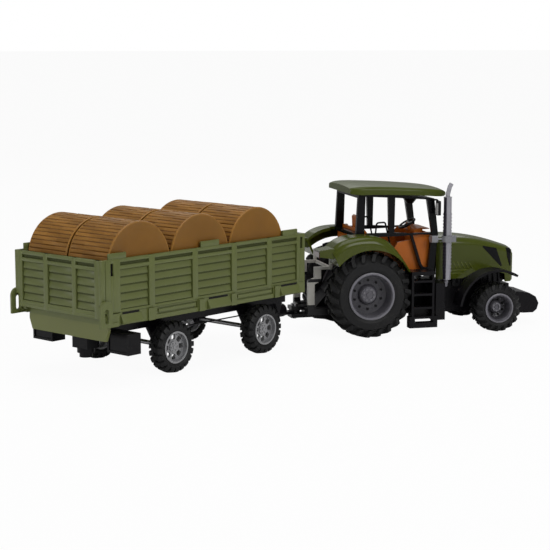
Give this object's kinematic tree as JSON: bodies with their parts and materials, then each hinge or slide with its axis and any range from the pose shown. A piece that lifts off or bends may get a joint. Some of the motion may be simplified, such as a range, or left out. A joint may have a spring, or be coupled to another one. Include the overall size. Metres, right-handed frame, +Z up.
{
  "type": "toy farm tractor with bale trailer",
  "caption": "Toy farm tractor with open cab and friction drive, hitched to a slatted flatbed trailer with drop tailgate and lift-out round bales.",
  "frame": {"origin": "on the ground, below the middle of the tractor's rear axle", "axes": "+X forward along the tractor, +Y to the tractor's left, +Z up; the trailer is parked at 32.8 degrees to the tractor"},
  "size_m": [0.5325, 0.2686, 0.1457],
  "materials": {
    "tyre": "moulded soft black tyre",
    "tractor_green": "glossy olive green paint",
    "trailer_green": "satin light olive",
    "black_trim": "satin black",
    "rim_grey": "satin mid grey",
    "rim_silver": "satin silver",
    "steel": "plain steel pin stock",
    "gear_white": "natural moulded gear plastic",
    "flywheel_iron": "pressed iron disc",
    "cab_orange": "satin orange brown",
    "exhaust_grey": "satin mid grey",
    "link_grey": "light grey",
    "lamp_black": "gloss black lens",
    "lamp_red": "red lens",
    "straw": "matt caramel, combed straw"
  },
  "bodies": {
    "tractor": {"hitch_pin": "steel", "chassis_screws": "steel", "chassis": "black_trim", "gearbox_cover": "black_trim", "weight_carrier": "black_trim", "front_weight": "black_trim", "hood": "tractor_green", "roof": "tractor_green", "rear_fenders": "tractor_green", "front_mudguards": "black_trim", "headlamps": "lamp_black", "nose_grille": "black_trim", "cab_frame": "black_trim", "roof_lining": "black_trim", "roof_dome": "black_trim", "cab_tub": "cab_orange", "dash_console": "cab_orange", "seat": "cab_orange", "grab_rails": "black_trim", "steering_column": "cab_orange", "tail_lamps": "lamp_red", "lift_frame": "link_grey", "exhaust_stack": "exhaust_grey", "exhaust_clamp": "exhaust_grey", "mirror_arms": "black_trim", "mirror_plates": "link_grey", "steps": "black_trim", "side_tanks": "black_trim"},
    "rear_wheels": {"rear_tyres": "tyre", "rear_rims": "rim_grey", "rear_axle": "steel", "drive_gear": "gear_white"},
    "front_wheels": {"front_tyres": "tyre", "front_rims": "rim_grey", "front_axle": "steel"},
    "idler": {"idler_gear": "gear_white"},
    "flywheel_body": {"flywheel": "flywheel_iron"},
    "steering": {"steering_wheel": "black_trim"},
    "trailer": {"trailer_bed": "trailer_green", "side_wall_left": "trailer_green", "side_wall_right": "trailer_green", "front_wall": "trailer_green", "rear_apron": "trailer_green", "rear_lamp_boxes": "black_trim", "trailer_chassis": "black_trim", "tow_hitch": "black_trim", "drawbar": "black_trim"},
    "trailer_front_wheels": {"trailer_front_tyres": "tyre", "trailer_front_rims": "rim_silver", "trailer_front_axle": "steel"},
    "trailer_rear_wheels": {"trailer_rear_tyres": "tyre", "trailer_rear_rims": "rim_silver", "trailer_rear_axle": "steel"},
    "gate": {"tailgate": "trailer_green"},
    "bale_front_left_body": {"bale_front_left": "straw"},
    "bale_middle_left_body": {"bale_middle_left": "straw"},
    "bale_rear_left_body": {"bale_rear_left": "straw"},
    "bale_front_right_body": {"bale_front_right": "straw"},
    "bale_middle_right_body": {"bale_middle_right": "straw"},
    "bale_rear_right_body": {"bale_rear_right": "straw"}
  },
  "joints": [
    {"name": "rear_wheels_roll", "type": "hinge", "parent": "tractor", "child": "rear_wheels", "pos_m": [0, 0, 0.041], "axis": [0, 1, 0], "continuous": true},
    {"name": "front_wheels_roll", "type": "hinge", "parent": "tractor", "child": "front_wheels", "pos_m": [0.13, 0, 0.024], "axis": [0, 1, 0], "continuous": true},
    {"name": "idler_spin", "type": "hinge", "parent": "tractor", "child": "idler", "pos_m": [0.01625, 0, 0.041], "axis": [0, 1, 0], "continuous": true},
    {"name": "flywheel_spin", "type": "hinge", "parent": "tractor", "child": "flywheel_body", "pos_m": [0.0325, 0, 0.041], "axis": [0, 1, 0], "continuous": true},
    {"name": "steering_wheel_turn", "type": "hinge", "parent": "tractor", "child": "steering", "pos_m": [0.0547, 0, 0.1026], "axis": [-0.4955, 0, 0.8686], "continuous": true},
    {"name": "trailer_swing", "type": "hinge", "parent": "tractor", "child": "trailer", "pos_m": [-0.06, 0, 0.0205], "axis": [0, 0, 1], "range_deg": [-77.8, 12.2]},
    {"name": "trailer_front_wheels_roll", "type": "hinge", "parent": "trailer", "child": "trailer_front_wheels", "pos_m": [-0.14389, -0.05406, 0.0226], "axis": [-0.5417, 0.8406, 0], "continuous": true},
    {"name": "trailer_rear_wheels_roll", "type": "hinge", "parent": "trailer", "child": "trailer_rear_wheels", "pos_m": [-0.2387, -0.11517, 0.0226], "axis": [-0.5417, 0.8406, 0], "continuous": true},
    {"name": "tailgate_drop", "type": "hinge", "parent": "trailer", "child": "gate", "pos_m": [-0.30444, -0.15753, 0.057], "axis": [0.5417, -0.8406, 0], "range_deg": [0, 110]},
    {"name": "bale_front_left_lift", "type": "slide", "parent": "trailer", "child": "bale_front_left_body", "axis": [0, 0, 1], "range_m": [0, 0.09]},
    {"name": "bale_middle_left_lift", "type": "slide", "parent": "trailer", "child": "bale_middle_left_body", "axis": [0, 0, 1], "range_m": [0, 0.09]},
    {"name": "bale_rear_left_lift", "type": "slide", "parent": "trailer", "child": "bale_rear_left_body", "axis": [0, 0, 1], "range_m": [0, 0.09]},
    {"name": "bale_front_right_lift", "type": "slide", "parent": "trailer", "child": "bale_front_right_body", "axis": [0, 0, 1], "range_m": [0, 0.09]},
    {"name": "bale_middle_right_lift", "type": "slide", "parent": "trailer", "child": "bale_middle_right_body", "axis": [0, 0, 1], "range_m": [0, 0.09]},
    {"name": "bale_rear_right_lift", "type": "slide", "parent": "trailer", "child": "bale_rear_right_body", "axis": [0, 0, 1], "range_m": [0, 0.09]}
  ],
  "couplings": [
    {"joint": "idler_spin", "follows": "rear_wheels_roll", "ratio": -3},
    {"joint": "flywheel_spin", "follows": "rear_wheels_roll", "ratio": 9}
  ]
}
